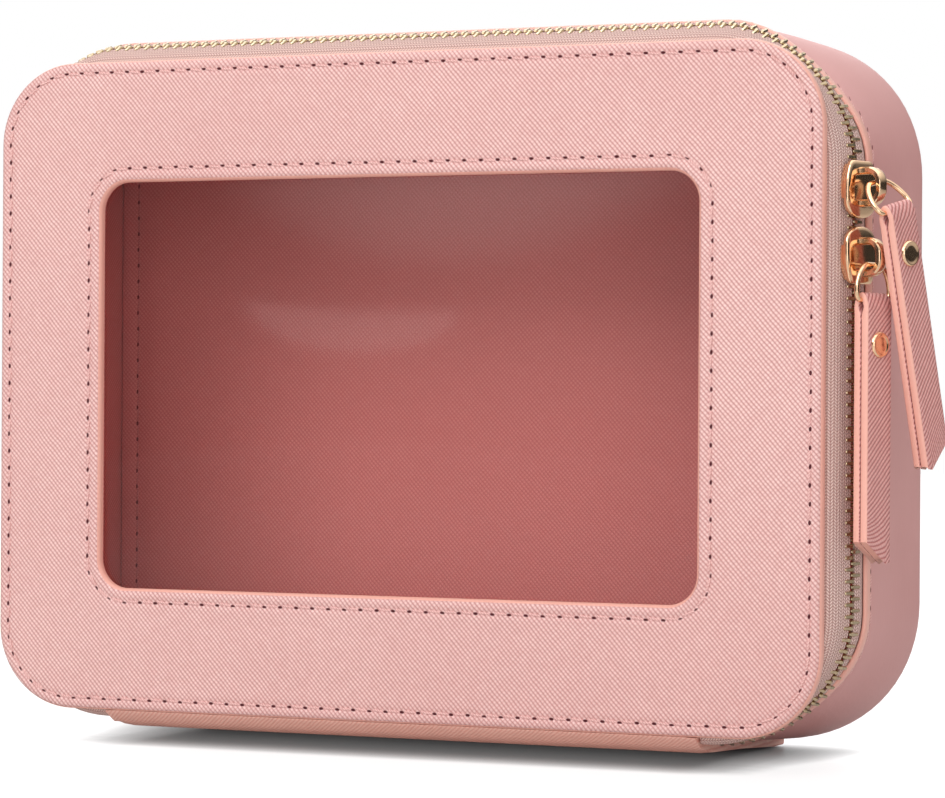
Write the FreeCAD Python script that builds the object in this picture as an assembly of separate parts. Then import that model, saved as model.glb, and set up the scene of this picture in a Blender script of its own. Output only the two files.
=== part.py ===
"""Clear-window travel make-up case: a framed body, a hinged window lid and a two-way zip.

Millimetres. X runs across the case, Y from the front to the back, Z up. The origin is on the
plane the case stands on, half way across and half way from front to back.
"""
import math
import os

import FreeCAD, Part

V = FreeCAD.Vector

# --- outline: every band of the case is an offset of one rounded rectangle ---
PANEL_W = 207.2          # lid panel
PANEL_H = 155.1
PANEL_R = 19.5
DEPTH = 70.0
BASE_T = 2.45            # leather strip under the body
BODY_OUT = 5.5           # body outline, outside the lid outline
RIM_OUT = 5.95           # folded front edge of the body
REAR_R = 9.0             # rounding between the side and the back
EASE = 8.0               # the body and the zip turn their corners this much wider than the lid
CORNER_X = PANEL_W / 2 - PANEL_R - EASE
CORNER_Z = PANEL_H / 2 - PANEL_R - EASE
BAND_R = PANEL_R + EASE
MID_Z = BASE_T + BODY_OUT + PANEL_H / 2
FRONT_Y = -DEPTH / 2

# --- lid ---
COVER_T = 1.2
BOARD_T = 1.0
PANE_T = 0.45
LID_T = 3.2
WINDOW = (-76.0, 74.8, -48.4, 48.7)      # left, right, bottom, top from the panel centre
WINDOW_R = 7.0
PANE_MARGIN = 6.0

# --- walls of the body, counted inwards from BODY_OUT ---
PAD_T = 1.85
WALL_T = 1.75
LINING_T = 0.75
GAP = 0.05
RIM_FRONT = 15.0
RIM_BACK = 18.4
TAPE_TUCK = 24.0

# --- zip ---
CHAIN_OUT = 4.0
CHAIN_BACK = 9.8
CHAIN_TILT = math.radians(22.0)
TAPE_T = 0.6
TOOTH_PITCH = 2.6
TOOTH_L = 1.15
TOOTH_T = 2.2
TOOTH_REACH = 3.2
ROW_GAP = 0.4            # half the gap between the two rows
STRIP_X = 74.5           # half length of the leather hinge strip

# --- leather hinge strip ---
HINGE_BACK = 6.0         # hinge line, behind the front face
HINGE_Z = 6.45
HINGE_R = 1.15
STRIP_END = 64.0         # how far back the strip runs under the body

# --- stitches ---
STITCH_PITCH = 4.1
STITCH_L = 3.1
STITCH_W = 0.75
STITCH_H = 0.35

# --- sliders and pulls ---
SLIDER_L = 12.8
SLIDER_W = 10.4
PLATE_IN = 1.3
PLATE_OUT = 2.6
UNDER_W = 8.0
BAIL_W = 2.5
BAIL_L = 8.8
BAIL_TOP = 8.5
BAIL_WALL = 1.65
BAIL_SHIFT = 0.5
WIRE_R = 0.6
RING_H = 7.8
RING_TOP_W = 6.6
RING_BAR_W = 11.2
STRAP_W = 8.7
STRAP_T = 3.9
STRAP_LONG = 58.6
STRAP_SHORT = 53.0
RIVET_DROP = 9.8
RIVET_R = 2.9
POST_R = 1.0
UPPER_Z = 44.1           # slider centres, from the panel centre
LOWER_Z = 29.6
UPPER_FAN = math.radians(13.5)


# ---------------------------------------------------------------- bands

def at(out, back, side, along=0.0):
    """Point of a band: out from the lid outline, back from the front face."""
    ux, uz = [(1, 0), (0, 1), (-1, 0), (0, -1)][side]
    flat = [CORNER_X, CORNER_Z][side % 2] + BAND_R + out
    return V(ux * flat - uz * along, back + FRONT_Y, MID_Z + uz * flat + ux * along)


def closed_face(edges):
    return Part.Face(Part.Wire(edges))


def polygon_edges(points):
    return [Part.makeLine(a, b) for a, b in zip(points, points[1:] + points[:1])]


def half_length(side):
    return [CORNER_Z, CORNER_X][side % 2]


def band(make_face, full=True, end_x=STRIP_X):
    """Carry a section round the outline: all the way, or with the hinge strip left open."""
    pieces = []
    for side in range(4):
        half = half_length(side)
        face = make_face(side, -half)
        run = at(0, 0, side, half) - at(0, 0, side, -half)
        if side < 3 or full:
            pieces.append(face.extrude(run))
        else:
            share = (half - end_x) / (2 * half)
            pieces.append(face.extrude(run * share))
            back_face = make_face(side, end_x)
            pieces.append(back_face.extrude(run * share))
        axis_x = CORNER_X * [1, -1, -1, 1][side]
        axis_z = MID_Z + CORNER_Z * [1, 1, -1, -1][side]
        turn = make_face(side, half)
        pieces.append(turn.revolve(V(axis_x, 0, axis_z), V(0, -1, 0), 90))
    return pieces[0].multiFuse(pieces[1:]).removeSplitter()


def poly_band(section, full=True, end_x=STRIP_X):
    """Band with a straight-sided section of (out, back) corners."""
    def make_face(side, along):
        return closed_face(polygon_edges([at(o, d, side, along) for o, d in section]))
    return band(make_face, full, end_x)


def wall_band(outer, inner, front):
    """Side wall that turns in at the back on the rear rounding, between two offsets."""
    turn_out = BODY_OUT - REAR_R
    turn_back = DEPTH - REAR_R

    def arc(side, along, radius):
        mid = radius * math.sqrt(0.5)
        return Part.Arc(at(turn_out + radius, turn_back, side, along),
                        at(turn_out + mid, turn_back + mid, side, along),
                        at(turn_out, turn_back + radius, side, along)).toShape()

    def make_face(side, along):
        ro = outer - turn_out
        ri = inner - turn_out
        a = at(outer, front, side, along)
        b = at(outer, turn_back, side, along)
        c = at(turn_out, turn_back + ro, side, along)
        d = at(turn_out, turn_back + ri, side, along)
        e = at(inner, turn_back, side, along)
        f = at(inner, front, side, along)
        return closed_face([Part.makeLine(a, b), arc(side, along, ro), Part.makeLine(c, d),
                            arc(side, along, ri), Part.makeLine(e, f), Part.makeLine(f, a)])
    return band(make_face)


def rounded_plate(left, right, low, high, radius, back, thick):
    """Upright plate with rounded corners, given from the panel centre."""
    plate = Part.makeBox(right - left, thick, high - low, V(left, back + FRONT_Y, MID_Z + low))
    upright = [e for e in plate.Edges
               if abs(e.tangentAt(e.FirstParameter).y) > 0.99]
    return plate.makeFillet(radius, upright)


def outline_plate(out, back, thick, radius=PANEL_R):
    half_w = PANEL_W / 2 + out
    half_h = PANEL_H / 2 + out
    return rounded_plate(-half_w, half_w, -half_h, half_h, radius + out, back, thick)


def window_plate(margin, back, thick):
    left, right, low, high = WINDOW
    return rounded_plate(left - margin, right + margin, low - margin, high + margin,
                         WINDOW_R + margin, back, thick)


# ---------------------------------------------------------------- rows of small solids

def loop_stations(left, right, low, high, radius, pitch, gap_x=None):
    """Evenly spaced (x, z, direction) along a rounded rectangle, from the panel centre.

    The walk goes up the right side, over the top, down the left and along the bottom. With
    gap_x it starts and ends on the bottom, that far from the middle.
    """
    flats = [high - low - 2 * radius, right - left - 2 * radius]
    start = [(right, low + radius), (right - radius, high), (left, high - radius),
             (left + radius, low)]
    centres = [(right - radius, high - radius), (left + radius, high - radius),
               (left + radius, low + radius), (right - radius, low + radius)]
    arc = radius * math.pi / 2
    legs = []
    for side in range(4):
        legs.append(("flat", side, flats[side % 2]))
        legs.append(("arc", side, arc))
    total = sum(leg[2] for leg in legs)
    first, length = 0.0, total
    if gap_x is not None:
        tail = right - radius - gap_x
        first = -arc - tail
        length = total - 2 * gap_x - (left + right)
    count = int(length // pitch)
    step = length / count
    stations = []
    for n in range(count):
        s = (first + (n + 0.5) * step) % total
        for kind, side, size in legs:
            if s <= size:
                break
            s -= size
        heading = math.pi / 2 * (side + 1)
        if kind == "flat":
            x, z = start[side]
            x += math.cos(heading) * s
            z += math.sin(heading) * s
        else:
            angle = heading - math.pi / 2 + s / radius
            x = centres[side][0] + radius * math.cos(angle)
            z = centres[side][1] + radius * math.sin(angle)
            heading += s / radius
        stations.append((x, z, heading))
    return stations


def prism(profile, direction):
    """Straight prism over a flat outline of points."""
    return closed_face(polygon_edges(profile)).extrude(direction)


def stitch(centre, along, across, up):
    """One stitch: a thread lying on its surface, with both ends sloping into the leather."""
    low = [centre + along * s * STITCH_L / 2 + up * 0.02 for s in (-1, 1)]
    top = [centre + along * s * STITCH_L * 0.36 + up * (0.02 + STITCH_H) for s in (-1, 1)]
    profile = [p - across * (STITCH_W / 2) for p in (low[0], low[1], top[1], top[0])]
    return prism(profile, across * STITCH_W)


def face_stitches(left, right, low, high, radius, back, up_y):
    stitches = []
    for x, z, heading in loop_stations(left, right, low, high, radius, STITCH_PITCH):
        along = V(math.cos(heading), 0, math.sin(heading))
        across = V(math.sin(heading), 0, -math.cos(heading))
        centre = V(x, back + FRONT_Y, MID_Z + z)
        stitches.append(stitch(centre, along, across, V(0, up_y, 0)))
    return Part.makeCompound(stitches)


def outline_stitches(inset, back, up_y, radius=BAND_R):
    half_w = PANEL_W / 2 - inset
    half_h = PANEL_H / 2 - inset
    return face_stitches(-half_w, half_w, -half_h, half_h, radius - inset, back, up_y)


def rim_stitches():
    """Row round the outside of the body, just behind the folded rim."""
    half_w = PANEL_W / 2 + BODY_OUT
    half_h = PANEL_H / 2 + BODY_OUT
    radius = BAND_R + BODY_OUT
    stitches = []
    for x, z, heading in loop_stations(-half_w, half_w, -half_h, half_h, radius,
                                       STITCH_PITCH, STRIP_X + 1.0):
        along = V(math.cos(heading), 0, math.sin(heading))
        up = V(math.sin(heading), 0, -math.cos(heading))
        centre = V(x, RIM_BACK + 1.4 + FRONT_Y, MID_Z + z)
        stitches.append(stitch(centre, along, V(0, 1, 0), up))
    return Part.makeCompound(stitches)


def tooth_row(side):
    """One row of zip teeth, clamped on its tape edge. side is -1 for the lid, 1 for the body."""
    half_w = PANEL_W / 2 + CHAIN_OUT
    half_h = PANEL_H / 2 + CHAIN_OUT
    half_t = TOOTH_T / 2
    jaw = TAPE_T / 2 + 0.02
    section = [(ROW_GAP, -0.55), (ROW_GAP + 0.7, -half_t), (TOOTH_REACH, -half_t),
               (TOOTH_REACH, -jaw), (1.65, -jaw), (1.65, jaw), (TOOTH_REACH, jaw),
               (TOOTH_REACH, half_t), (ROW_GAP + 0.7, half_t), (ROW_GAP, 0.55)]
    teeth = []
    stagger = 0.0 if side < 0 else 0.5
    stations = loop_stations(-half_w, half_w, -half_h, half_h, BAND_R + CHAIN_OUT,
                             TOOTH_PITCH / 2, STRIP_X + 0.8)
    for x, z, heading in stations[int(2 * stagger)::2]:
        along = V(math.cos(heading), 0, math.sin(heading))
        outward = V(math.sin(heading), 0, -math.cos(heading))
        down_band = outward * math.sin(CHAIN_TILT) + V(0, math.cos(CHAIN_TILT), 0)
        normal = outward * math.cos(CHAIN_TILT) - V(0, math.sin(CHAIN_TILT), 0)
        centre = V(x, CHAIN_BACK + FRONT_Y, MID_Z + z) - along * (TOOTH_L / 2)
        profile = [centre + down_band * (side * b) + normal * n for b, n in section]
        teeth.append(prism(profile, along * TOOTH_L))
    return Part.makeCompound(teeth)


# ---------------------------------------------------------------- body

def ribbon(points, thick):
    """Section of constant thickness about a bent centre line of (out, back) points."""
    sides = []
    for sign in (1, -1):
        line = []
        for n, (o, d) in enumerate(points):
            before = points[max(n - 1, 0)]
            after = points[min(n + 1, len(points) - 1)]
            here = (o, d)
            normals = []
            for p, q in ((before, here), (here, after)):
                length = math.hypot(q[0] - p[0], q[1] - p[1])
                if length > 0:
                    normals.append((-(q[1] - p[1]) / length, (q[0] - p[0]) / length))
            nx = sum(v[0] for v in normals) / len(normals)
            ny = sum(v[1] for v in normals) / len(normals)
            square = nx * nx + ny * ny
            reach = sign * thick / 2 / square
            line.append((o + nx * reach, d + ny * reach))
        sides.append(line)
    return sides[0] + sides[1][::-1]


def chain_point(b):
    return (CHAIN_OUT + b * math.sin(CHAIN_TILT), CHAIN_BACK + b * math.cos(CHAIN_TILT))


def gusset_cover():
    outer = BODY_OUT
    inner = BODY_OUT - PAD_T
    cover = wall_band(outer, inner, RIM_BACK - 1.0)
    pocket = poly_band([(inner - 1, RIM_FRONT), (outer - COVER_T, RIM_FRONT),
                        (outer - COVER_T, TAPE_TUCK + 0.1), (inner - 1, TAPE_TUCK + 0.1)])
    return cover.cut(pocket)


def gusset_board():
    outer = BODY_OUT - PAD_T - GAP
    return wall_band(outer, outer - WALL_T, RIM_BACK - 0.9)


def gusset_lining():
    outer = BODY_OUT - PAD_T - WALL_T - 2 * GAP
    return wall_band(outer, outer - LINING_T, RIM_BACK - 0.9)


def back_plate(depth_in, thick):
    return outline_plate(BODY_OUT - REAR_R - GAP, DEPTH - depth_in - thick, thick, BAND_R)


def rim_binding():
    return poly_band([(5.2, RIM_FRONT), (RIM_OUT - 0.25, RIM_FRONT), (RIM_OUT, RIM_FRONT + 0.3),
                      (RIM_OUT, RIM_BACK - 0.2), (RIM_OUT - 0.2, RIM_BACK),
                      (BODY_OUT + GAP, RIM_BACK), (BODY_OUT + GAP, RIM_BACK - 1.05),
                      (4.35, RIM_BACK - 1.05)], full=False)


def rear_tape():
    tuck = BODY_OUT - COVER_T - TAPE_T / 2 - GAP
    line = [chain_point(1.7), chain_point(4.1), (4.75, 15.0), (tuck, 17.3), (tuck, TAPE_TUCK)]
    return poly_band(ribbon(line, TAPE_T - 0.02), full=False)


def base_strip():
    """Leather strip under the body. Its front edge is the round bead the lid turns on."""
    slope = math.radians(24.7)
    nx = math.sin(slope)
    nz = math.cos(slope)
    y0 = FRONT_Y + HINGE_BACK
    profile = [V(-STRIP_X, y0 - nx * HINGE_R, HINGE_Z - nz * HINGE_R),
               V(-STRIP_X, FRONT_Y + 17.0, 0.55), V(-STRIP_X, FRONT_Y + 20.0, 0),
               V(-STRIP_X, FRONT_Y + STRIP_END - 0.8, 0), V(-STRIP_X, FRONT_Y + STRIP_END, 0.8),
               V(-STRIP_X, FRONT_Y + STRIP_END, BASE_T - 0.03),
               V(-STRIP_X, FRONT_Y + 15.6, BASE_T - 0.03),
               V(-STRIP_X, y0 + nx * HINGE_R, HINGE_Z + nz * HINGE_R)]
    strip = prism(profile, V(2 * STRIP_X, 0, 0))
    bead = Part.makeCylinder(HINGE_R, 2 * STRIP_X, V(-STRIP_X, y0, HINGE_Z), V(1, 0, 0))
    return strip.fuse(bead).removeSplitter()


# ---------------------------------------------------------------- lid

def lid_cover():
    """Front leather: a face with a wide window, turned over at the outside and at the window."""
    shell = outline_plate(0, 0, LID_T)
    front = [e for e in shell.Edges if e.BoundBox.YMax < FRONT_Y + 0.01]
    shell = shell.makeFillet(1.0, front)
    shell = shell.cut(outline_plate(-COVER_T, COVER_T, LID_T))
    face_ring = window_plate(1.0, COVER_T - 0.3, LID_T)
    lip = window_plate(1.0, 0, COVER_T + BOARD_T)
    opening = window_plate(0, -1, LID_T + 2)
    return shell.fuse(lip).cut(face_ring.cut(lip)).cut(opening).removeSplitter()


def lid_board():
    board = outline_plate(-COVER_T - GAP, COVER_T, BOARD_T)
    return board.cut(window_plate(1.0 + GAP, 0, LID_T))


def window_pane():
    return window_plate(PANE_MARGIN, COVER_T + BOARD_T, PANE_T)


def lid_lining():
    back = COVER_T + BOARD_T
    lining = outline_plate(-COVER_T - GAP, back, LID_T - back)
    lining = lining.cut(window_plate(PANE_MARGIN + GAP, back - 1, 1 + PANE_T))
    return lining.cut(window_plate(0.4, 0, LID_T + 1))


def front_tape():
    back = LID_T + TAPE_T / 2
    line = [(-4.6, back), (0.7, back), chain_point(-4.1), chain_point(-1.7)]
    return poly_band(ribbon(line, TAPE_T - 0.02), full=False)


def hinge_flap():
    """Leather under the lid edge, ending in a trough round the bead of the base strip."""
    low = MID_Z - PANEL_H / 2
    profile = [V(-STRIP_X, FRONT_Y + 1.0, low - 0.02), V(-STRIP_X, FRONT_Y + 1.6, low - 0.9),
               V(-STRIP_X, FRONT_Y + HINGE_BACK - 1.6, HINGE_Z - 0.35),
               V(-STRIP_X, FRONT_Y + HINGE_BACK - 1.12, HINGE_Z + 0.52),
               V(-STRIP_X, FRONT_Y + HINGE_BACK + 0.4, HINGE_Z + 1.48),
               V(-STRIP_X, FRONT_Y + LID_T, low - 0.02)]
    flap = prism(profile, V(2 * STRIP_X, 0, 0))
    trough = Part.makeCylinder(HINGE_R + 0.04, 2 * STRIP_X + 2,
                               V(-STRIP_X - 1, FRONT_Y + HINGE_BACK, HINGE_Z), V(1, 0, 0))
    return flap.cut(trough)


# ---------------------------------------------------------------- sliders and pulls

def frame(origin, x, y, z):
    """Placement with the given local axes."""
    m = FreeCAD.Matrix(x.x, y.x, z.x, origin.x, x.y, y.y, z.y, origin.y,
                       x.z, y.z, z.z, origin.z, 0, 0, 0, 1)
    return FreeCAD.Placement(m)


BAND = V(math.sin(CHAIN_TILT), math.cos(CHAIN_TILT), 0)
NORMAL = V(math.cos(CHAIN_TILT), -math.sin(CHAIN_TILT), 0)
DOWN = V(0, 0, -1)


def chain_spot(band_x, normal_y, height):
    """Point near the right-hand chain: across it, out from it, above the panel centre."""
    origin = V(PANEL_W / 2 + CHAIN_OUT, CHAIN_BACK + FRONT_Y, MID_Z + height)
    return origin + BAND * band_x + NORMAL * normal_y


def slider_outline(half_w, half_l, y):
    """Plate outline: a round nose at -Z, straight sides that close in to the tail."""
    shoulder = -half_l + half_w * 0.72
    tail = half_w * 0.74
    nose = Part.Arc(V(-half_w, y, shoulder), V(0, y, -half_l), V(half_w, y, shoulder)).toShape()
    points = [V(half_w, y, shoulder), V(half_w * 0.97, y, 0), V(tail, y, half_l - 0.8),
              V(tail - 0.8, y, half_l), V(-tail + 0.8, y, half_l), V(-tail, y, half_l - 0.8),
              V(-half_w * 0.97, y, 0), V(-half_w, y, shoulder)]
    return [nose] + [Part.makeLine(a, b) for a, b in zip(points, points[1:])]


def slider_plate(half_w, half_l, y, thick):
    return closed_face(slider_outline(half_w, half_l, y)).extrude(V(0, thick, 0))


def slider_body():
    """Two plates joined by a web at the nose, with turned-in flanges beside the tapes."""
    half_l = SLIDER_L / 2
    plate = PLATE_OUT - PLATE_IN
    flange = 0.85
    top = slider_plate(SLIDER_W / 2, half_l, PLATE_IN, plate)
    top_rim = slider_plate(SLIDER_W / 2, half_l, PLATE_IN - flange, flange)
    under = slider_plate(UNDER_W / 2, half_l - 0.6, -PLATE_OUT, plate)
    under_rim = slider_plate(UNDER_W / 2, half_l - 0.6, -PLATE_IN, flange)
    lane = Part.makeBox(2 * TOOTH_REACH + 0.3, 4, SLIDER_L + 2,
                        V(-TOOTH_REACH - 0.15, -2, -half_l - 1))
    mouth = Part.makeBox(SLIDER_W + 2, 4, 3.6, V(-SLIDER_W / 2 - 1, -2, -half_l - 0.5))
    rims = top_rim.fuse(under_rim).cut(lane).cut(mouth)
    web = Part.makeBox(0.6, 2 * PLATE_IN + 0.4, 2.6, V(-0.3, -PLATE_IN - 0.2, -half_l + 0.7))
    body = top.fuse(under).fuse(rims).fuse(web).removeSplitter()
    crown = [e for e in body.Edges if e.BoundBox.YMin > PLATE_OUT - 0.01]
    return body.makeFillet(0.45, crown)


def arch_edges(half_l, top, radius, y0, x):
    """Upside-down U of lines and arcs in the YZ plane."""
    k = radius * (1 - math.sqrt(0.5))
    a = V(x, y0, -half_l)
    b = V(x, top - radius, -half_l)
    c = V(x, top, -half_l + radius)
    d = V(x, top, half_l - radius)
    e = V(x, top - radius, half_l)
    f = V(x, y0, half_l)
    return [Part.makeLine(a, b), Part.Arc(b, V(x, top - k, -half_l + k), c).toShape(),
            Part.makeLine(c, d), Part.Arc(d, V(x, top - k, half_l - k), e).toShape(),
            Part.makeLine(e, f), Part.makeLine(f, a)]


def slider_bail():
    x = -BAIL_W / 2
    outer = closed_face(arch_edges(BAIL_L / 2, BAIL_TOP, 3.6, PLATE_OUT, x))
    inner = closed_face(arch_edges(BAIL_L / 2 - 1.5, BAIL_TOP - BAIL_WALL, 2.4, PLATE_OUT, x))
    bail = outer.cut(inner).extrude(V(BAIL_W, 0, 0))
    bail.translate(V(0, 0, BAIL_SHIFT))
    return bail


def rounded_loop(points, radius):
    """Closed wire through flat points with every corner rounded."""
    edges = []
    ends = []
    for n, p in enumerate(points):
        to_last = (points[n - 1] - p).normalize()
        to_next = (points[(n + 1) % len(points)] - p).normalize()
        half = to_last.getAngle(to_next) / 2
        leg = radius / math.tan(half)
        middle = (to_last + to_next).normalize() * (radius / math.sin(half))
        crest = p + middle - (to_last + to_next).normalize() * radius
        edges.append(Part.Arc(p + to_last * leg, crest, p + to_next * leg).toShape())
        ends.append((p + to_last * leg, p + to_next * leg))
    wire = []
    for n, arc in enumerate(edges):
        wire.append(arc)
        wire.append(Part.makeLine(ends[n][1], ends[(n + 1) % len(ends)][0]))
    return Part.Wire(wire)


def pull_ring():
    """Wire ring, narrow in the bail and wide at the strap, hanging along local +Z."""
    corners = [V(-RING_TOP_W / 2, 0, 0), V(RING_TOP_W / 2, 0, 0),
               V(RING_BAR_W / 2, 0, RING_H), V(-RING_BAR_W / 2, 0, RING_H)]
    path = rounded_loop(corners, 0.8)
    start = path.Edges[1]
    point = start.valueAt(start.FirstParameter)
    direction = start.tangentAt(start.FirstParameter)
    ring = Part.Wire(Part.makeCircle(WIRE_R, point, direction))
    loop = Part.Wire(path.Edges[1:] + path.Edges[:1])
    return loop.makePipeShell([ring], True, False)


def tab_strap(rear_long):
    """Strap folded over the ring bar: two plies with a loop at the top and a slanting end."""
    half_t = STRAP_T / 2
    x = -STRAP_W / 2
    fold = Part.makeCylinder(half_t, STRAP_W, V(x, 0, 0), V(1, 0, 0))
    long_x = STRAP_W / 2 if rear_long else -STRAP_W / 2
    outline = [V(-long_x, -half_t, 0), V(long_x, -half_t, 0),
               V(long_x, -half_t, STRAP_LONG - 1.6), V(long_x * 0.78, -half_t, STRAP_LONG),
               V(-long_x, -half_t, STRAP_SHORT)]
    strap = fold.fuse(prism(outline, V(0, STRAP_T, 0))).removeSplitter()
    loop = Part.makeCylinder(WIRE_R + 0.06, STRAP_W + 2, V(x - 1, 0, 0), V(1, 0, 0))
    seam = Part.makeBox(STRAP_W + 2, 0.08, STRAP_LONG + 2, V(x - 1, -0.04, 0))
    hole = Part.makeCylinder(POST_R + 0.05, STRAP_T + 2, V(0, -half_t - 1, RIVET_DROP), V(0, 1, 0))
    return strap.cut(loop).cut(seam).cut(hole)


def rivet_cap():
    """Domed cap on the outside of the strap."""
    y = STRAP_T / 2
    cap = Part.makeCylinder(RIVET_R, 0.85, V(0, y, RIVET_DROP), V(0, 1, 0))
    rim = [e for e in cap.Edges if e.BoundBox.YMin > y + 0.8]
    return cap.makeFillet(0.55, rim)


def rivet_post():
    """Shank through both plies, with a small head on the inside."""
    half_t = STRAP_T / 2
    shank = Part.makeCylinder(POST_R, STRAP_T + 0.2, V(0, -half_t - 0.2, RIVET_DROP), V(0, 1, 0))
    head = Part.makeCylinder(2.0, 0.5, V(0, -half_t - 0.5, RIVET_DROP), V(0, 1, 0))
    return shank.fuse(head).removeSplitter()


def placed(shape, placement):
    copy = shape.copy()
    copy.Placement = placement * shape.Placement
    return copy


def pull_set(name, slider, ring, tab, rear_long):
    """Slider, bail, ring, strap and rivet of one pull, each in its own frame."""
    return {
        name + "_slider_body": placed(slider_body(), slider),
        name + "_slider_bail": placed(slider_bail(), slider),
        name + "_pull_ring": placed(pull_ring(), ring),
        name + "_tab_strap": placed(tab_strap(rear_long), tab),
        name + "_tab_rivet_cap": placed(rivet_cap(), tab),
        name + "_tab_rivet_post": placed(rivet_post(), tab),
    }


def lower_pull():
    """Lower pull: tail down, ring and strap hanging straight."""
    slider = frame(chain_spot(0, 0, LOWER_Z), BAND, NORMAL, DOWN)
    ring_top = chain_spot(0, 5.6, 27.4)
    ring = frame(ring_top, BAND, NORMAL, DOWN)
    tab = frame(ring_top + DOWN * RING_H, BAND, NORMAL, DOWN)
    return pull_set("lower", slider, ring, tab, True)


def upper_pull():
    """Upper pull: tail up, ring tipped outwards, strap fanned towards the back."""
    slider = frame(chain_spot(0, 0, UPPER_Z), BAND * -1, NORMAL, DOWN * -1)
    across = BAND * math.cos(UPPER_FAN) - DOWN * math.sin(UPPER_FAN)
    hang = BAND * math.sin(UPPER_FAN) + DOWN * math.cos(UPPER_FAN)
    lean = math.asin(4.65 / RING_H)
    drop = hang * math.cos(lean) + NORMAL * math.sin(lean)
    face = NORMAL * math.cos(lean) - hang * math.sin(lean)
    ring_top = chain_spot(0.1, 6.1, 45.5)
    ring = frame(ring_top, across, face, drop)
    tab = frame(ring_top + drop * RING_H, across, NORMAL, hang)
    return pull_set("upper", slider, ring, tab, False)


# ---------------------------------------------------------------- assembly

def build():
    window_low = (WINDOW[0] - 3.1, WINDOW[1] + 3.1, WINDOW[2] - 3.1, WINDOW[3] + 3.1)
    nodes = {
        "gusset_cover": gusset_cover(),
        "gusset_board": gusset_board(),
        "gusset_lining": gusset_lining(),
        "back_cover": back_plate(0, PAD_T),
        "back_board": back_plate(PAD_T + GAP, WALL_T),
        "back_lining": back_plate(PAD_T + WALL_T + 2 * GAP, LINING_T),
        "rim_binding": rim_binding(),
        "rim_stitches": rim_stitches(),
        "back_stitches": outline_stitches(REAR_R - BODY_OUT + 3.0, DEPTH, 1),
        "lining_stitches": outline_stitches(REAR_R - BODY_OUT + 3.0,
                                            DEPTH - PAD_T - WALL_T - LINING_T - 2 * GAP, -1),
        "rear_zipper_tape": rear_tape(),
        "rear_zipper_teeth": tooth_row(1),
        "base_strip": base_strip(),
        "lid_cover": lid_cover(),
        "lid_board": lid_board(),
        "window_pane": window_pane(),
        "lid_lining": lid_lining(),
        "lid_edge_stitches": outline_stitches(2.8, 0, -1, PANEL_R),
        "window_stitches": face_stitches(*window_low, WINDOW_R + 3.1, 0, -1),
        "front_zipper_tape": front_tape(),
        "front_zipper_teeth": tooth_row(-1),
        "hinge_flap": hinge_flap(),
    }
    nodes.update(upper_pull())
    nodes.update(lower_pull())
    return nodes


os.makedirs("parts", exist_ok=True)
for name, shape in build().items():
    shape.exportStep(os.path.join("parts", name + ".step"))
    print(name, len(shape.Solids), shape.isValid(), round(shape.Volume, 1))
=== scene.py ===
"""Looks of the clear-window travel make-up case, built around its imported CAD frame.

Lengths are millimetres until they go into a mesh, which is in metres; names that end in _m
are metres too.
"out" is outwards from the lid outline, "back" is backwards from the front face.
"""
import math
import random

import bpy
import numpy as np
from mathutils import Matrix, Vector


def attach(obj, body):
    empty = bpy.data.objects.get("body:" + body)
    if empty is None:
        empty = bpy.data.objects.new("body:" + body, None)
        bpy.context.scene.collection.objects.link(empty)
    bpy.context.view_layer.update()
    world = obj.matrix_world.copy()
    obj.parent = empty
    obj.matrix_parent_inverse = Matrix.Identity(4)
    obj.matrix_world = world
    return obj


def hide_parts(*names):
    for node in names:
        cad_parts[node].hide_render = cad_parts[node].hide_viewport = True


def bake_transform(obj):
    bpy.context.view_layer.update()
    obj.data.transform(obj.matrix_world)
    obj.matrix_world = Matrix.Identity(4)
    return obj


MM = 0.001

# --- outline of the case ---
PANEL_R = 19.5
CORNER_X = 84.1
CORNER_Z = 58.05
EASE = 8.0  # the body and the zip turn their corners wider than the lid
MID_Z = 85.5
FRONT = -35.0
DEPTH = 70.0
BODY_OUT = 5.5
REAR_R = 9.0
WINDOW = (-76.0, 74.8, -48.4, 48.7)
WINDOW_R = 7.0
STRIP_X = 74.5
CHAIN_OUT = 4.0
CHAIN_BACK = 9.8
TILT = math.radians(22.0)
HINGE = (6.0, 6.45)  # hinge line: back, height

# --- walls, from the front ---
RIM_BACK = 17.5  # where the body's side skins begin
RIM_STITCH_BACK = 19.8
LINING_BACK = 65.5  # face of the back lining
BOARD_OUT = BODY_OUT - 1.9  # outer face of the side board

# --- stitches, by their distance in from an edge ---
STITCH_PITCH = 4.1
STITCH_LONG = 3.3
STITCH_FAT = 0.25
LID_STITCH_IN = 2.8
WINDOW_STITCH_IN = 3.1
BACK_STITCH_IN = 3.0
LINING_STITCH_IN = 2.5

# --- zip and pulls ---
TAPE_THICK = 0.55
TOOTH_PITCH = 1.3
RING_REACH = 7.8  # from the ring's bar in the bail to its bar in the strap
RING_WIRE_R = 0.6
STRAP_HALF_W = 4.35
STRAP_LONG = 58.6
STRAP_SHORT = 53.0
RIVET_DROP = 9.8

bpy.ops.wm.read_factory_settings(use_empty=True)
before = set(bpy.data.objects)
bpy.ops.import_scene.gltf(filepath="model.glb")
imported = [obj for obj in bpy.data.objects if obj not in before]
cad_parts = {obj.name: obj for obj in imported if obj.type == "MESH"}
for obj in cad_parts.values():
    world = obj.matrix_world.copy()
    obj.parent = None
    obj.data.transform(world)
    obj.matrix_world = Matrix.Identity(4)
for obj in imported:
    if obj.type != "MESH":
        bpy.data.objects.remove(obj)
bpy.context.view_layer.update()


# ---------------- materials

def srgb(r, g, b):
    def linear(c):
        c /= 255
        return c / 12.92 if c <= 0.04045 else ((c + 0.055) / 1.055) ** 2.4
    return (linear(r), linear(g), linear(b), 1.0)


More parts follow.
